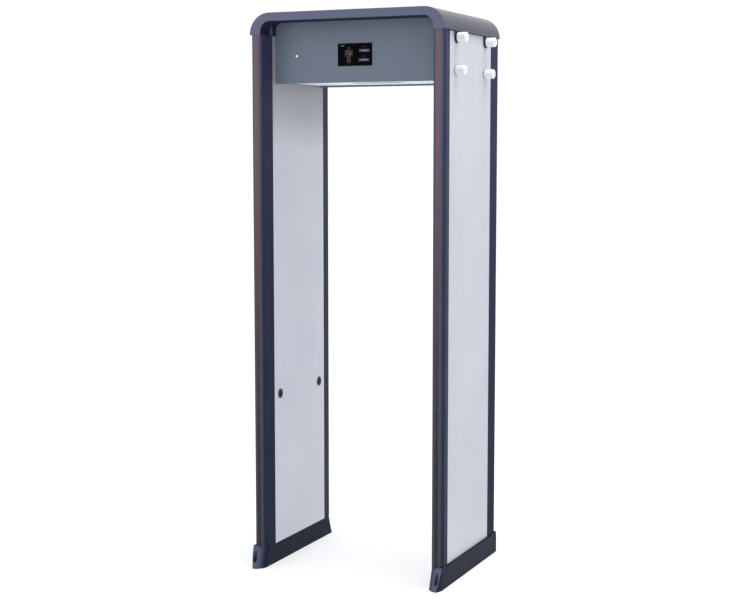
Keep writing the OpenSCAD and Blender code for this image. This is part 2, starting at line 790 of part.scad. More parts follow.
module main_board() {
    face_y = chassis_y - board_gap - circuit_t;
    chip = [18, 3, 18];
    color("#1f5c43") translate([board_x, face_y, board_z]) cube([board_w, circuit_t, board_h]);
    color("#17181b") for (x = [40, 90, 140])
        translate([board_x + x, face_y - chip[1], board_z + 45]) cube(chip);
    // terminal row along the lower edge
    color("#2f7a3c") translate([board_x + 20, face_y - 14, board_z + 4]) cube([board_w - 40, 14, 14]);
}

module power_supply() {
    size = [150, 60, 95];
    color("#c0c3c8") translate([-chassis_w / 2 + 12, chassis_y - size[1], tray_top + 12]) cube(size);
}

module sounder() {
    r = 20;
    color("#1b1c20") difference() {
        rod_y(chassis_w / 2 - 50, chassis_y - 22, tray_top + 60, r, 22);
        rod_y(chassis_w / 2 - 50, chassis_y - 22 - past, tray_top + 60, 3, 6 + past);
    }
}

harness_r = 4;
harness_y = chassis_y - board_gap - circuit_t - 7;

// Bundle from the terminal row up and out to the connector of each leg
module wiring_harness() {
    start_x = board_x + board_w / 2;
    top_z = plug_z + 60;
    end_x = header_x - plate_t - 16;
    row_z = board_z + 18;
    color("#26282e") {
        translate([start_x, harness_y, row_z]) cylinder(r = harness_r, h = top_z - row_z, $fn = round_fn);
        rod_x(-end_x, harness_y, top_z, harness_r, 2 * end_x);
        for (s = [-1, 1]) {
            translate([s * end_x, harness_y, top_z]) sphere(r = harness_r, $fn = round_fn);
            translate([s * end_x, harness_y, plug_z]) cylinder(r = harness_r, h = top_z - plug_z, $fn = round_fn);
            translate([s * end_x, harness_y, plug_z]) sphere(r = harness_r, $fn = round_fn);
            rod_y(s * end_x, 0, plug_z, harness_r, harness_y);
            translate([s * end_x, 0, plug_z]) sphere(r = harness_r, $fn = round_fn);
            mirror([s < 0 ? 1 : 0, 0, 0]) rod_x(end_x, 0, plug_z, harness_r, 20);
        }
    }
}

module mains_inlet() {
    depth = 30;
    lip = 3;
    cavity = [24, 16, 16];
    color("#1c1d21") translate([inlet_x, header_y, inlet_z]) difference() {
        union() {
            translate([-inlet_w / 2 - lip, 0, -inlet_h / 2 - lip])
                cube([inlet_w + 2 * lip, 2, inlet_h + 2 * lip]);
            translate([-inlet_w / 2, -depth, -inlet_h / 2]) cube([inlet_w, depth, inlet_h]);
            // housing of the rocker, on the same moulding
            translate([rocker_x - inlet_x - rocker_w / 2 - lip, 0, -rocker_h / 2 - lip])
                cube([rocker_w + 2 * lip, 2, rocker_h + 2 * lip]);
            translate([rocker_x - inlet_x - rocker_w / 2, -depth, -rocker_h / 2])
                cube([rocker_w, depth, rocker_h]);
            translate([rocker_x - inlet_x, -depth, -6]) cube([inlet_x - rocker_x, 6, 12]);
        }
        translate([-cavity[0] / 2, 2 - cavity[1], -cavity[2] / 2]) cube([cavity[0], cavity[1] + past, cavity[2]]);
        translate([rocker_x - inlet_x, 0, 0]) rocker_well();
    }
}

rocker_pin_r = 1.5;
rocker_pin_y = -5;
rocker_throw = 24;
well_w = rocker_w - 4;
well_h = rocker_h - 4;

module rocker_well() {
    deep = 16;
    translate([-well_w / 2, 2 - deep, -well_h / 2]) cube([well_w, deep + past, well_h]);
    rod_x(-well_w / 2 - 1.5, rocker_pin_y, 0, rocker_pin_r + turn_fit, well_w + 3);
}

// A point of the rocker's outline, at an angle and a distance from its pin
function rocker_point(angle, r) = [rocker_pin_y + r * cos(angle), r * sin(angle)];

module power_rocker() {
    w = well_w - 2 * slack;
    r = well_h / 2 - slack;
    high = 50;
    low = high - rocker_throw - 100;
    color("#a02a2a") translate([rocker_x, header_y, inlet_z]) {
        slab_x(-w / 2, w) polygon([rocker_point(low, r), rocker_point((high + low) / 2, 0.56 * r),
            rocker_point(high, r), rocker_point(100, 0.6 * r), rocker_point(168, 0.45 * r),
            rocker_point(-124, 0.6 * r)]);
        rod_x(-well_w / 2 - 1.2, rocker_pin_y, 0, rocker_pin_r, well_w + 2.4);
    }
}

top_cap();
top_spigots();
post(-1, -1);  // post_left_front
post(-1, 1);  // post_left_rear
post(1, -1);  // post_right_front
post(1, 1);  // post_right_rear
light_lens(-1, -1);  // light_lens_left_front
light_lens(-1, 1);  // light_lens_left_rear
light_lens(1, -1);  // light_lens_right_front
light_lens(1, 1);  // light_lens_right_rear
light_strips(-1);  // light_strips_left
light_strips(1);  // light_strips_right
inner_panel(-1);  // inner_panel_left
inner_panel(1);  // inner_panel_right
outer_panel(-1);  // outer_panel_left
outer_panel(1);  // outer_panel_right
core_board(-1);  // core_board_left
core_board(1);  // core_board_right
coil(-1);  // transmit_coil
coil(1);  // receive_coil
sensor_bezels();
sensor_lenses();
sensor_modules(-1);  // sensor_emitters
sensor_modules(1);  // sensor_receivers
base_shoe(-1);  // base_shoe_left
base_shoe(1);  // base_shoe_right
foot_spigots();
spigot_screws();
header_front_plate();
header_rear_plate();
header_tray();
header_end(-1);  // header_end_left
header_end(1);  // header_end_right
header_studs();
clamp_pads();
knob_washers();
knob(-1, 0, -1);  // knob_left_upper_front
knob(-1, 0, 1);  // knob_left_upper_rear
knob(-1, 1, -1);  // knob_left_lower_front
knob(-1, 1, 1);  // knob_left_lower_rear
knob(1, 0, -1);  // knob_right_upper_front
knob(1, 0, 1);  // knob_right_upper_rear
knob(1, 1, -1);  // knob_right_lower_front
knob(1, 1, 1);  // knob_right_lower_rear
service_hatch();
hatch_pin();
hatch_lock();
screen_bezel();
screen_glass();
display_module();
status_light();
control_chassis();
main_board();
power_supply();
sounder();
wiring_harness();
leg_connectors();
mains_inlet();
power_rocker();
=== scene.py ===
import bpy
import math
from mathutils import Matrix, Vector


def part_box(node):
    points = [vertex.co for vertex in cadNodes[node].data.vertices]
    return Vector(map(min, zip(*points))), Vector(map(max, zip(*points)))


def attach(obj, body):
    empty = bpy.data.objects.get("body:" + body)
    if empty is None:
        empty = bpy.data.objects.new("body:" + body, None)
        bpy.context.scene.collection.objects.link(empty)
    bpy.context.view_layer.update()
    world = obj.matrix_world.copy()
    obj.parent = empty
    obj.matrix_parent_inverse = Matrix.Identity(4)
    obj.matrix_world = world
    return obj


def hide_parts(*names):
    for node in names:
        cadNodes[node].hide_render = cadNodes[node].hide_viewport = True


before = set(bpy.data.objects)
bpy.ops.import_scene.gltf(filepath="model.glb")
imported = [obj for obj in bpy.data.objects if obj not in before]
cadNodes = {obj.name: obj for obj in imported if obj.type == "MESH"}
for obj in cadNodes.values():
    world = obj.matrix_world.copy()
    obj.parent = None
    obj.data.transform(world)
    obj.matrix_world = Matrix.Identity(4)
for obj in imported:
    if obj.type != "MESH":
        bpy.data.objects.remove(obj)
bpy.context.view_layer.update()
print("frame loaded:", len(cadNodes), "nodes")

mm = 0.001


def hexToLinear(text):
    parts = [int(text[i : i + 2], 16) / 255 for i in (1, 3, 5)]
    linear = [c / 12.92 if c <= 0.04045 else ((c + 0.055) / 1.055) ** 2.4 for c in parts]
    return (*linear, 1.0)


# adds one node, sets its values and joins its inputs to (node, output) pairs
def addNode(tree, kind, inputs=None, **values):
    node = tree.nodes.new(kind)
    for key, value in values.items():
        setattr(node, key, value)
    for key, value in (inputs or {}).items():
        if isinstance(value, tuple) and isinstance(value[0], bpy.types.Node):
            tree.links.new(value[0].outputs[value[1]], node.inputs[key])
        else:
            node.inputs[key].default_value = value
    return node


def newMaterial(name):
    material = bpy.data.materials.new(name)
    material.use_nodes = True
    tree = material.node_tree
    tree.nodes.clear()
    shader = addNode(tree, "ShaderNodeBsdfPrincipled")
    addNode(tree, "ShaderNodeOutputMaterial", {"Surface": (shader, 0)})
    return material, tree, shader


def setRamp(ramp, stops):
    elements = ramp.color_ramp.elements
    while len(elements) < len(stops):
        elements.new(0.5)
    for element, (place, colour) in zip(elements, stops):
        element.position = place
        element.color = colour


# how far a face looks along the passage, towards the front or the rear: 0 to 1
def endFacing(tree, place):
    facing = addNode(tree, "ShaderNodeSeparateXYZ", {"Vector": (place, "Normal")})
    return addNode(tree, "ShaderNodeMath", {0: (facing, 1)}, operation="ABSOLUTE")


# how far a face looks down or towards the middle of the passage: -1 to 1
def inwardFacing(tree, place):
    facing = addNode(tree, "ShaderNodeSeparateXYZ", {"Vector": (place, "Normal")})
    where = addNode(tree, "ShaderNodeSeparateXYZ", {"Vector": (place, "Object")})
    side = addNode(tree, "ShaderNodeMath", {0: (where, 0)}, operation="SIGN")
    across = addNode(tree, "ShaderNodeMath", {0: (facing, 0), 1: (side, 0)}, operation="MULTIPLY")
    lowest = addNode(tree, "ShaderNodeMath", {0: (across, 0), 1: (facing, 2)}, operation="MINIMUM")
    return addNode(tree, "ShaderNodeMath", {0: (lowest, 0), 1: -1.0}, operation="MULTIPLY")


# lays a second colour over the faces that a measure picks out, with a soft edge between: painted light on
# faces that look to the front or rear, painted shade on faces that look down or into the passage
def paintLightByFacing(tree, place, shade, colour, measure, edge):
    picked = addNode(tree, "ShaderNodeMapRange", {"Value": (measure(tree, place), 0), "From Min": edge[0],
        "From Max": edge[1]}, interpolation_type="SMOOTHSTEP")
    mixed = addNode(tree, "ShaderNodeMix", {0: (picked, 0), 6: shade, 7: colour}, data_type="RGBA")
    return (mixed, 2)


shadeTop = 2.3  # metres, just over the gate's top


# painted shade: darkens the colour by height; stops are (height in metres, share of black)
def paintShadeByHeight(tree, place, shade, stops):
    where = addNode(tree, "ShaderNodeSeparateXYZ", {"Vector": (place, "Object")})
    height = addNode(tree, "ShaderNodeMath", {0: (where, 2), 1: shadeTop}, operation="DIVIDE")
    amount = addNode(tree, "ShaderNodeValToRGB", {"Fac": (height, 0)})
    setRamp(amount, [(level / shadeTop, (share, share, share, 1.0)) for level, share in stops])
    mixed = addNode(tree, "ShaderNodeMix", {0: (amount, 0), 6: shade, 7: (0.0, 0.0, 0.0, 1.0)},
        data_type="RGBA")
    return (mixed, 2)


grainDepth = 0.2  # how deep a grain is, as a share of its size


# grain that moulding, coating or rolling leaves: a fine noise for the bump and the roughness, a broad
# one that shifts the colour a little, and corners that catch a thin line of light
def grainedSurface(name, look):
    material, tree, shader = newMaterial(name)
    place = addNode(tree, "ShaderNodeTexCoord")
    stretch = addNode(tree, "ShaderNodeMapping", {"Vector": (place, "Object"),
        "Scale": look.get("stretch", (1, 1, 1))})
    fine = addNode(tree, "ShaderNodeTexNoise", {"Vector": (stretch, 0), "Scale": 1 / (look["grain"] * mm),
        "Detail": 3.0, "Roughness": 0.6})
    broad = addNode(tree, "ShaderNodeTexNoise", {"Vector": (place, "Object"),
        "Scale": 1 / (look["cloud"] * mm), "Detail": 4.0, "Roughness": 0.55})
    tint = addNode(tree, "ShaderNodeValToRGB", {"Fac": (broad, 0)})
    setRamp(tint, [(0.32, hexToLinear(look["dark"])), (0.68, hexToLinear(look["light"]))])
    shade = (tint, 0)
    # painted highlight: a lighter colour on the faces that look to the front or the rear
    if "nose" in look:
        shade = paintLightByFacing(tree, place, shade, hexToLinear(look["nose"]), endFacing, look["noseEdge"])
    # painted shade: a darker colour on the faces that look down or into the passage
    if "inside" in look:
        shade = paintLightByFacing(tree, place, shade, hexToLinear(look["inside"]), inwardFacing,
            look["insideEdge"])
    # painted shade that changes with height
    if "paintedShadeHeights" in look:
        shade = paintShadeByHeight(tree, place, shade, look["paintedShadeHeights"])
    speck = addNode(tree, "ShaderNodeMix", {0: look.get("speck", 0.12), 6: shade, 7: (fine, 0)},
        data_type="RGBA", blend_type="SOFT_LIGHT")
    shine = addNode(tree, "ShaderNodeMapRange", {"Value": (fine, 0), "From Min": 0.3, "From Max": 0.7,
        "To Min": look["rough"] - look["roughSwing"], "To Max": look["rough"] + look["roughSwing"]})
    corner = addNode(tree, "ShaderNodeBevel", {"Radius": look["corner"] * mm}, samples=4)
    bump = addNode(tree, "ShaderNodeBump", {"Height": (fine, 0), "Normal": (corner, 0),
        "Strength": look["bump"], "Distance": look["grain"] * mm * grainDepth})
    tree.links.new(speck.outputs[2], shader.inputs["Base Color"])
    if "insideRough" in look:
        inward = addNode(tree, "ShaderNodeMapRange", {"Value": (inwardFacing(tree, place), 0),
            "From Min": look["insideEdge"][0], "From Max": look["insideEdge"][1]})
        shine = addNode(tree, "ShaderNodeMix", {0: (inward, 0), 2: (shine, 0), 3: look["insideRough"]})
    tree.links.new(shine.outputs[0], shader.inputs["Roughness"])
    tree.links.new(bump.outputs[0], shader.inputs["Normal"])
    shader.inputs["Metallic"].default_value = look.get("metallic", 0.0)
    if not look.get("metallic"):
        shader.inputs["IOR"].default_value = look["ior"]
        shader.inputs["Specular IOR Level"].default_value = look.get("specular", 0.5)
    shader.inputs["Coat Weight"].default_value = look.get("coat", 0.0)
    shader.inputs["Coat Roughness"].default_value = look.get("coatRough", 0.2)
    return material


# grain and cloud are in millimetres: the size of one grain and of one patch of shade. Real grain is
# finer than 0.3 mm on most of these, and is drawn coarser so that it shows.
looks = {
    # ABS from a spark-eroded mould: violet slate on the end faces as painted light, a dark sheen over the
    # bends, and a darker navy inside the arch as painted shade, with a dull finish there
    "mouldedAbsSlate": {"dark": "#22253C", "light": "#262942", "nose": "#5A5D77", "noseEdge": (0.5, 0.9),
        "inside": "#1E2038", "insideEdge": (0.3, 0.7), "insideRough": 0.95, "grain": 1.1, "cloud": 180,
        "rough": 0.24, "roughSwing": 0.03, "bump": 0.1, "corner": 1.6, "ior": 1.53, "specular": 0.25},
    # the same moulding in the darker shoe colour: scuffed a little, with a painted highlight on the toes
    "mouldedAbsNavy": {"dark": "#1E2130", "light": "#242838", "nose": "#545A70", "noseEdge": (0.45, 0.95),
        "grain": 1.1, "cloud": 60, "rough": 0.5, "roughSwing": 0.06, "bump": 0.3, "corner": 1.4,
        "ior": 1.53, "specular": 0.03, "speck": 0.2},
    # extruded aluminium, dyed and anodised: dark blue-grey with faint draw lines up the post, a painted
    # highlight on the noses, and painted shade that deepens towards the floor
    "anodisedExtrusion": {"dark": "#31354A", "light": "#363A4F", "nose": "#585B70", "noseEdge": (0.5, 0.95),
        "paintedShadeHeights": [(0.1, 0.42), (1.3, 0.25), (2.0, 0.0)], "grain": 1.4, "stretch": (1, 1, 0.02),
        "cloud": 240, "rough": 0.5, "roughSwing": 0.05, "bump": 0.12, "corner": 0.8, "ior": 1.5,
        "specular": 0.03},
    # rolled laminate on the leg panels: pale cool grey, satin
    "satinLaminate": {"dark": "#B3B6C0", "light": "#BBBEC7", "grain": 0.9, "cloud": 320, "rough": 0.48,
        "roughSwing": 0.04, "bump": 0.1, "corner": 0.5, "ior": 1.49, "speck": 0.06},
    # the same laminate on the passage side: a lighter base than the outer copy as painted light, painted
    # shade under the header near the top, and a faint painted shade at the floor
    "satinLaminatePassagePaintedLightAndShade": {"dark": "#C4C8D3", "light": "#CCCFD9", "paintedShadeHeights": [(0.1, 0.04), (0.4, 0.0),
        (1.7, 0.0), (1.84, 0.35), (1.95, 0.5)], "grain": 0.9, "cloud": 320, "rough": 0.48,
        "roughSwing": 0.04, "bump": 0.1, "corner": 0.5, "ior": 1.49, "speck": 0.06},
    # powder-coated sheet steel: blue-grey with a fine orange peel
    "powderCoatSlate": {"dark": "#5E6979", "light": "#636E7E", "grain": 2.2, "cloud": 260, "rough": 0.45,
        "roughSwing": 0.05, "bump": 0.16, "corner": 0.7, "ior": 1.5, "speck": 0.08},
    # the same coat in near white for the tray under the header
    "powderCoatPale": {"dark": "#F6F7F8", "light": "#FBFBFC", "grain": 2.2, "cloud": 200, "rough": 0.46,
        "roughSwing": 0.05, "bump": 0.14, "corner": 0.6, "ior": 1.5, "specular": 0.1, "speck": 0.05},
    # the hatch is a shade greyer than its tray
    "powderCoatHatch": {"dark": "#9DA2AC", "light": "#A6AAB4", "grain": 2.2, "cloud": 90, "rough": 0.44,
        "roughSwing": 0.05, "bump": 0.16, "corner": 0.6, "ior": 1.5, "specular": 0.05, "speck": 0.06},
    # polished moulded nylon: clean white with a soft gloss
    "mouldedNylonWhite": {"dark": "#E4E6EC", "light": "#EDEEF2", "grain": 1.6, "cloud": 30, "rough": 0.3,
        "roughSwing": 0.04, "bump": 0.06, "corner": 0.5, "ior": 1.53, "speck": 0.04},
    # moulded rubber-like plastic of pads, washers, bezels and housings: near black, dull
    "mouldedBlack": {"dark": "#15161B", "light": "#1E1F26", "grain": 0.8, "cloud": 25, "rough": 0.55,
        "roughSwing": 0.08, "bump": 0.3, "corner": 0.4, "ior": 1.52, "speck": 0.25},
    # the display's frame: the same plastic, matt and blacker, so that it sinks into the glass
    "mouldedBlackMatt": {"dark": "#050507", "light": "#08080B", "grain": 0.8, "cloud": 25, "rough": 0.6,
        "roughSwing": 0.05, "bump": 0.2, "corner": 0.3, "ior": 1.52, "specular": 0.06, "speck": 0.1},
    # zinc plate over rolled steel: bright, cloudy, fine scratches along the sheet
    "zincPlatedSteel": {"dark": "#A9ADB2", "light": "#C6C9CC", "grain": 0.7, "stretch": (0.08, 1, 1),
        "cloud": 14, "rough": 0.34, "roughSwing": 0.09, "bump": 0.15, "corner": 0.3, "metallic": 1.0},
    # sawn, unfinished aluminium of the spigots and the case of the display
    "millAluminium": {"dark": "#B4B6B9", "light": "#CDCED0", "grain": 0.5, "stretch": (1, 1, 0.06),
        "cloud": 20, "rough": 0.4, "roughSwing": 0.1, "bump": 0.2, "corner": 0.3, "metallic": 1.0},
    # pressed fibreboard of the leg core: tan, flecked
    "pressedFibreboard": {"dark": "#A28A62", "light": "#BBA47B", "grain": 1.8, "cloud": 22, "rough": 0.8,
        "roughSwing": 0.08, "bump": 0.5, "corner": 0.3, "ior": 1.45, "speck": 0.5},
    # wound enamelled copper under clear tape: orange-brown ridges along the run
    "tapedWinding": {"dark": "#8C4A24", "light": "#B86A3A", "grain": 1.2, "stretch": (1, 1, 0.05),
        "cloud": 18, "rough": 0.36, "roughSwing": 0.08, "bump": 0.6, "corner": 0.4, "ior": 1.5,
        "speck": 0.3, "coat": 0.4},
    # solder mask over glass-fibre board: green with the weave and copper faintly showing
    "solderMask": {"dark": "#164A33", "light": "#1F6245", "grain": 0.9, "cloud": 5, "rough": 0.33,
        "roughSwing": 0.08, "bump": 0.25, "corner": 0.2, "ior": 1.55, "speck": 0.4, "coat": 0.3},
    # moulded red rocker, glossy where fingers press it
    "mouldedRed": {"dark": "#8E2020", "light": "#A22A28", "grain": 0.9, "cloud": 8, "rough": 0.28,
        "roughSwing": 0.05, "bump": 0.08, "corner": 0.5, "ior": 1.53, "speck": 0.08},
    # infrared-passing acrylic of the sensor windows: almost black, polished
    "polishedAcrylicDark": {"dark": "#0C0D11", "light": "#14151B", "grain": 1.5, "cloud": 10, "rough": 0.14,
        "roughSwing": 0.03, "bump": 0.02, "corner": 0.4, "ior": 1.49, "specular": 0.04, "speck": 0.05},
    # cover glass over a dark display: black with a hard reflection
    "coverGlass": {"dark": "#020204", "light": "#050509", "grain": 3.0, "cloud": 40, "rough": 0.12,
        "roughSwing": 0.03, "bump": 0.01, "corner": 0.3, "ior": 1.52, "specular": 0.03, "speck": 0.03},
}
materials = {name: grainedSurface(name, look) for name, look in looks.items()}


# smoked polycarbonate over the light strip, extruded: red-brown, with painted shade taking it almost to
# black at the floor, and the lights behind it painted on as very faint lighter patches every 98 mm
def smokedPolycarbonate(name, look):
    material, tree, shader = newMaterial(name)
    place = addNode(tree, "ShaderNodeTexCoord")
    axes = addNode(tree, "ShaderNodeSeparateXYZ", {"Vector": (place, "Object")})
    height = addNode(tree, "ShaderNodeMapRange", {"Value": (axes, 2), "From Min": look["low"] * mm,
        "From Max": look["high"] * mm})
    # painted shade: the lens colour darkens from the top towards the floor
    paintedShadeRamp = addNode(tree, "ShaderNodeValToRGB", {"Fac": (height, 0)})
    setRamp(paintedShadeRamp, [(i / (len(look["paintedShadeColours"]) - 1), hexToLinear(c)) for i, c in enumerate(look["paintedShadeColours"])])
    # painted light: faint lighter patches where the lamps sit behind the lens
    beat = addNode(tree, "ShaderNodeMath", {0: (axes, 2), 1: 2 * math.pi / (look["lightPitch"] * mm)},
        operation="MULTIPLY")
    wave = addNode(tree, "ShaderNodeMath", {0: (beat, 0)}, operation="SINE")
    glow = addNode(tree, "ShaderNodeMapRange", {"Value": (wave, 0), "From Min": 0.6, "From Max": 1.0,
        "To Min": 0.0, "To Max": look["glow"]})
    paintedLampPatches = addNode(tree, "ShaderNodeMix", {0: (glow, 0), 6: (paintedShadeRamp, 0), 7: hexToLinear("#B08C86")},
        data_type="RGBA")
    ripple = addNode(tree, "ShaderNodeTexNoise", {"Vector": (place, "Object"), "Scale": 1 / (6 * mm),
        "Detail": 2.0})
    corner = addNode(tree, "ShaderNodeBevel", {"Radius": 0.4 * mm}, samples=4)
    bump = addNode(tree, "ShaderNodeBump", {"Height": (ripple, 0), "Normal": (corner, 0), "Strength": 0.05,
        "Distance": 0.3 * mm})
    tree.links.new(paintedLampPatches.outputs[2], shader.inputs["Base Color"])
    tree.links.new(bump.outputs[0], shader.inputs["Normal"])
    shader.inputs["Roughness"].default_value = 0.28
    shader.inputs["IOR"].default_value = 1.58
    shader.inputs["Specular IOR Level"].default_value = 0.25
    return material


# the lens goes darker towards the floor as painted shade; glow sets the strength of the painted lamp
# patches
lensLook = {"low": 80, "high": 2145, "lightPitch": 98, "glow": 0.025,
    "paintedShadeColours": ["#17100F", "#1E1518", "#37272C", "#54393E", "#694A4F", "#6E4E52"]}
materials["smokedPolycarbonate"] = smokedPolycarbonate("smokedPolycarbonate", lensLook)


# lit picture behind the cover glass: a soft even glow with the display's fine rows
def litDisplay(name, colour, strength):
    material, tree, shader = newMaterial(name)
    place = addNode(tree, "ShaderNodeTexCoord")
    rows = addNode(tree, "ShaderNodeTexWave", {"Vector": (place, "Object"), "Scale": 1 / (1.2 * mm) / 6.28,
        "Distortion": 0.0}, bands_direction="Z")
    lit = addNode(tree, "ShaderNodeMix", {0: (rows, "Fac"), 6: hexToLinear(colour),
        7: [c * 0.75 for c in hexToLinear(colour)[:3]] + [1.0]}, data_type="RGBA")
    tree.links.new(lit.outputs[2], shader.inputs["Base Color"])
    tree.links.new(lit.outputs[2], shader.inputs["Emission Color"])
    shader.inputs["Emission Strength"].default_value = strength
    shader.inputs["Roughness"].default_value = 0.3
    return material


screenColours = {"litFigure": ("#0B0F14", 0.2), "litButton": ("#2B3446", 0.4), "litRed": ("#A81E36", 0.6),
    "litPale": ("#7E8A9E", 0.45)}
for name, (colour, strength) in screenColours.items():
    materials[name] = litDisplay(name, colour, strength)
print("materials made:", len(materials))

finishes = {
    "mouldedAbsSlate": ["top_cap"],
    "mouldedAbsNavy": ["base_shoe_left", "base_shoe_right"],
    "anodisedExtrusion": ["post_left_front", "post_left_rear", "post_right_front", "post_right_rear"],
    "smokedPolycarbonate": ["light_lens_left_front", "light_lens_left_rear", "light_lens_right_front",
        "light_lens_right_rear"],
    "satinLaminate": ["outer_panel_left", "outer_panel_right"],
    "satinLaminatePassagePaintedLightAndShade": ["inner_panel_left", "inner_panel_right"],
    "powderCoatSlate": ["header_front_plate", "header_rear_plate"],
    "powderCoatPale": ["header_tray"],
    "powderCoatHatch": ["service_hatch"],
    "mouldedNylonWhite": ["status_light"],
    "mouldedBlack": ["sensor_bezels", "clamp_pads", "knob_washers", "sounder", "wiring_harness",
        "leg_connectors", "mains_inlet"],
    "mouldedBlackMatt": ["screen_bezel"],
    "zincPlatedSteel": ["spigot_screws", "header_studs", "hatch_pin", "hatch_lock", "header_end_left",
        "header_end_right", "control_chassis"],
    "millAluminium": ["top_spigots", "foot_spigots", "display_module", "power_supply"],
    "pressedFibreboard": ["core_board_left", "core_board_right"],
    "tapedWinding": ["transmit_coil", "receive_coil"],
    "solderMask": ["light_strips_left", "light_strips_right", "sensor_emitters", "sensor_receivers",
        "main_board"],
    "mouldedRed": ["power_rocker"],
    "polishedAcrylicDark": ["sensor_lenses"],
    "coverGlass": ["screen_glass"],
}
for finish, names in finishes.items():
    for name in names:
        mesh = cadNodes[name].data
        mesh.materials.clear()
        mesh.materials.append(materials[finish])
print("finishes put on the frame's nodes")


def addPiece(name, verts, faces, finish, smooth=True):
    mesh = bpy.data.meshes.new(name)
    mesh.from_pydata(verts, [], faces)
    mesh.validate()
    mesh.materials.append(materials[finish])
    piece = bpy.data.objects.new(name, mesh)
    bpy.context.scene.collection.objects.link(piece)
    for face in mesh.polygons:
        face.use_smooth = smooth
    return piece


# hand knobs: a plain collar, shallow flutes along the grip, a chamfered end and a deep dimple; sizes in
# millimetres
knob = {"flutes": 14, "fluteDepth": 0.9, "collar": 5.5, "runOut": 2.5, "chamfer": 3.0, "soft": 1.4,
    "dimpleDepth": 8.0, "dimpleRadius": 3.1, "steps": 168, "groove": 0.8}


def knobProfile(radius, length):
    k = knob
    top = length
    return [  # (place along the axis, radius, share of the flute's depth)
        (0.0, radius - k["soft"] * 1.4, 0), (0.4, radius - k["soft"] * 0.5, 0), (k["soft"], radius, 0),
        (k["collar"] - 1.0, radius, 0), (k["collar"] - 0.6, radius - k["groove"], 0),
        (k["collar"], radius - k["groove"], 0), (k["collar"] + 0.5, radius - 0.1, 0),
        (k["collar"] + k["runOut"], radius, 0.7), (k["collar"] + 2 * k["runOut"], radius, 1),
        (top * 0.6, radius, 1), (top - k["chamfer"] - 2.2, radius, 1), (top - k["chamfer"] - 0.8,
            radius - 0.1, 0.5),
        (top - k["chamfer"], radius - 0.5, 0.2), (top - 0.7, radius - k["chamfer"], 0),
        (top - 0.15, radius - k["chamfer"] - 0.9, 0), (top, radius - k["chamfer"] - 2.0, 0),
        (top, radius * 0.45, 0), (top - 0.4, radius * 0.38, 0), (top - 0.5, k["dimpleRadius"] + 0.9, 0),
        (top - 0.8, k["dimpleRadius"] + 0.2, 0), (top - 1.4, k["dimpleRadius"], 0),
        (top - k["dimpleDepth"], k["dimpleRadius"], 0), (top - k["dimpleDepth"] - 0.6, 0.4, 0),
    ]


def makeKnob(node):
    low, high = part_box(node)
    side = 1 if high.x > 0 else -1
    start = low.x if side > 0 else high.x
    centre = (low + high) / 2
    radius = (high.z - low.z) / 2 / mm - 0.05
    rings = knobProfile(radius, (high.x - low.x) / mm)
    verts, faces, n = [], [], knob["steps"]
    for along, ringRadius, share in rings:
        for i in range(n):
            turn = 2 * math.pi * i / n
            dip = knob["fluteDepth"] * share * max(0.0, math.cos(turn * knob["flutes"])) ** 1.5
            r = (ringRadius - dip) * mm
            verts.append((start + side * along * mm, centre.y + r * math.cos(turn),
                centre.z + r * math.sin(turn)))
    for ring in range(len(rings) - 1):
        for i in range(n):
            a, b = ring * n + i, ring * n + (i + 1) % n
            quad = (a, b, b + n, a + n)
            faces.append(quad if side > 0 else quad[::-1])
    base, tip = tuple(range(n)), tuple(range((len(rings) - 1) * n, len(rings) * n))
    faces.append(base[::-1] if side > 0 else base)
    faces.append(tip if side > 0 else tip[::-1])
    piece = addPiece(node + "_grip", verts, faces, "mouldedNylonWhite")
    # the dimple's wall and floor are near black, as painted shade in the hole
    piece.data.materials.append(materials["mouldedBlack"])
    for face in piece.data.polygons[(len(rings) - 4) * n : (len(rings) - 1) * n]:
        face.material_index = 1
    piece.data.polygons[-1].material_index = 1
    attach(piece, node)
    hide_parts(node)
    return piece


for node in sorted(n for n in cadNodes if n.startswith("knob_") and n != "knob_washers"):
    makeKnob(node)
print("knobs made")


# a thin raised plate with round corners and a soft edge, for what the display shows
def roundedPlate(name, centreX, centreZ, width, height, radius, frontY, thick, finish):
    outline, inner, steps = [], [], 6
    soft = min(radius, width, height) * 0.12
    for cx, cz, first in ((1, 1, 0), (-1, 1, 90), (-1, -1, 180), (1, -1, 270)):
        for i in range(steps + 1):
            turn = math.radians(first + 90 * i / steps)
            x = cx * (width / 2 - radius) + radius * math.cos(turn)
            z = cz * (height / 2 - radius) + radius * math.sin(turn)
            outline.append((centreX + x, centreZ + z))
            shrink = 1 - soft / radius
            x = cx * (width / 2 - radius) + radius * shrink * math.cos(turn)
            z = cz * (height / 2 - radius) + radius * shrink * math.sin(turn)
            inner.append((centreX + x, centreZ + z))
    n = len(outline)
    verts = [(x * mm, frontY * mm, z * mm) for x, z in inner]
    verts += [(x * mm, (frontY + thick * 0.4) * mm, z * mm) for x, z in outline]
    verts += [(x * mm, (frontY + thick) * mm, z * mm) for x, z in outline]
    faces = [tuple(range(n)), tuple(range(2 * n, 3 * n))[::-1]]
    for level in (0, 1):
        for i in range(n):
            a, b = level * n + i, level * n + (i + 1) % n
            faces.append((a, a + n, b + n, b))
    piece = addPiece(name, verts, faces, finish, smooth=False)
    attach(piece, "gate")
    return piece


glassLow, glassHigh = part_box("screen_glass")
display = {"thick": 0.25, "raise": 0.1, "step": 0.04, "middleX": (glassLow.x + glassHigh.x) / 2 / mm,
    "middleZ": (glassLow.z + glassHigh.z) / 2 / mm,
    "front": glassLow.y / mm - 0.2}
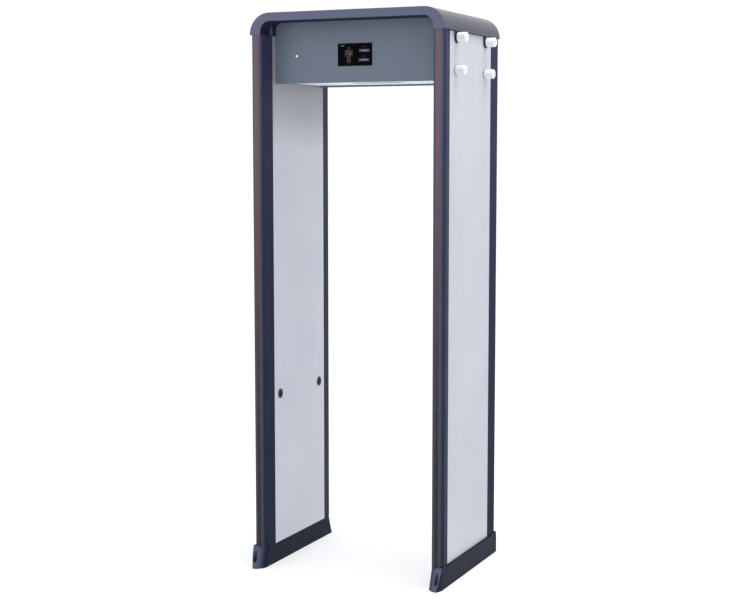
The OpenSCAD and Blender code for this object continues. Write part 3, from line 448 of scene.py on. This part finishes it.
# (name, across, up, width, height, corner, finish), from the middle of the glass
displayParts = [
    ("screen_figure_head", -27, 25, 9, 11, 4.4, "litFigure"),
    ("screen_figure_chest", -27, 8, 21, 20, 4, "litFigure"),
    ("screen_figure_hip", -27, -8, 17, 11, 3, "litFigure"),
    ("screen_figure_leg_left", -32, -23, 7, 20, 3, "litFigure"),
    ("screen_figure_leg_right", -22, -23, 7, 20, 3, "litFigure"),
    ("screen_figure_arm_left", -41, 6, 5, 26, 2.4, "litFigure"),
    ("screen_figure_arm_right", -13, 6, 5, 26, 2.4, "litFigure"),
    ("screen_alarm_dot", -21, 3, 6, 6, 2.9, "litRed"),
    ("screen_button_upper", 40, 15, 44, 11, 2.5, "litButton"),
    ("screen_button_lower", 38, -21, 44, 11, 2.5, "litButton"),
    ("screen_bar_upper", 40, 15, 26, 2, 0.9, "litPale"),
    ("screen_bar_lower", 38, -21, 26, 2, 0.9, "litPale"),
    ("screen_rule_upper", 40, 29, 18, 1.2, 0.5, "litButton"),
    ("screen_rule_lower", 38, -7, 18, 1.2, 0.5, "litButton"),
    ("screen_status_row", -54, 35, 16, 1.6, 0.7, "litPale"),
]
for order, (name, across, up, width, height, corner, finish) in enumerate(displayParts):
    # bars and dots stand a little before what they lie on, in three steps of depth
    raised = "bar" in name or "dot" in name
    lift = display["raise"] + display["step"] * (order % 3) if raised else 0
    roundedPlate(name, display["middleX"] + across, display["middleZ"] + up, width, height, corner,
        display["front"] - lift, display["thick"], finish)
print("display made")

# floor: pale, matt, with a very faint mottle; it isn't part of the object
floorLook = {"size": 60.0, "glow": 0.55, "dark": "#BEBFC1", "light": "#C2C2C4"}
floorMaterial, floorTree, floorShader = newMaterial("paleFloor")
floorPlace = addNode(floorTree, "ShaderNodeTexCoord")
floorNoise = addNode(floorTree, "ShaderNodeTexNoise", {"Vector": (floorPlace, "Object"), "Scale": 1.5,
    "Detail": 3.0})
floorTint = addNode(floorTree, "ShaderNodeValToRGB", {"Fac": (floorNoise, 0)})
setRamp(floorTint, [(0.3, hexToLinear(floorLook["dark"])), (0.7, hexToLinear(floorLook["light"]))])
floorTree.links.new(floorTint.outputs[0], floorShader.inputs["Base Color"])
floorShader.inputs["Roughness"].default_value = 0.9
floorShader.inputs["Specular IOR Level"].default_value = 0.1
floorShader.inputs["Emission Color"].default_value = (1.0, 1.0, 1.0, 1.0)
floorShader.inputs["Emission Strength"].default_value = floorLook["glow"]
half = floorLook["size"] / 2
floorMesh = bpy.data.meshes.new("floor")
floorMesh.from_pydata([(-half, -half, 0), (half, -half, 0), (half, half, 0), (-half, half, 0)], [],
    [(0, 1, 2, 3)])
floorMesh.materials.append(floorMaterial)
floor = bpy.data.objects.new("floor", floorMesh)
floor.location.z = -0.0005
bpy.context.scene.collection.objects.link(floor)

# soft studio: a white room, a weak key and fill, and a lamp above the cap
studio = {
    "room": 1.02,
    "lights": {
        "key": {"place": (3.4, -3.0, 3.6), "aim": (0.2, 0, 1.2), "size": 2.6, "power": 8},
        "fill": {"place": (-3.8, -4.2, 2.2), "aim": (0, 0, 1.2), "size": 3.0, "power": 8},
        "top": {"place": (1.1, 0.2, 4.4), "aim": (0.2, 0, 2.0), "size": 1.8, "power": 65},
    },
}
world = bpy.data.worlds.new("studioRoom")
bpy.context.scene.world = world
world.use_nodes = True
world.node_tree.nodes.clear()
room = addNode(world.node_tree, "ShaderNodeBackground", {"Color": (1.0, 1.0, 1.0, 1.0),
    "Strength": studio["room"]})
addNode(world.node_tree, "ShaderNodeOutputWorld", {"Surface": (room, 0)})
for name, lamp in studio["lights"].items():
    data = bpy.data.lights.new(name, "AREA")
    data.shape, data.size, data.energy = "DISK", lamp["size"], lamp["power"]
    light = bpy.data.objects.new(name, data)
    light.location = lamp["place"]
    light.rotation_euler = (Vector(lamp["aim"]) - Vector(lamp["place"])).to_track_quat("-Z", "Y").to_euler()
    bpy.context.scene.collection.objects.link(light)
print("studio lit")

eye = {"place": (2.4693, -5.5093, 1.7012), "along": (-0.4081, 0.9072, -0.1018), "lens": 71.2, "film": 36.0}
cameraData = bpy.data.cameras.new("studioCamera")
cameraData.lens, cameraData.sensor_width = eye["lens"], eye["film"]
camera = bpy.data.objects.new("studioCamera", cameraData)
camera.location = eye["place"]
camera.rotation_euler = Vector(eye["along"]).to_track_quat("-Z", "Y").to_euler()
bpy.context.scene.collection.objects.link(camera)
bpy.context.scene.camera = camera
bpy.context.scene.view_settings.view_transform = "Standard"
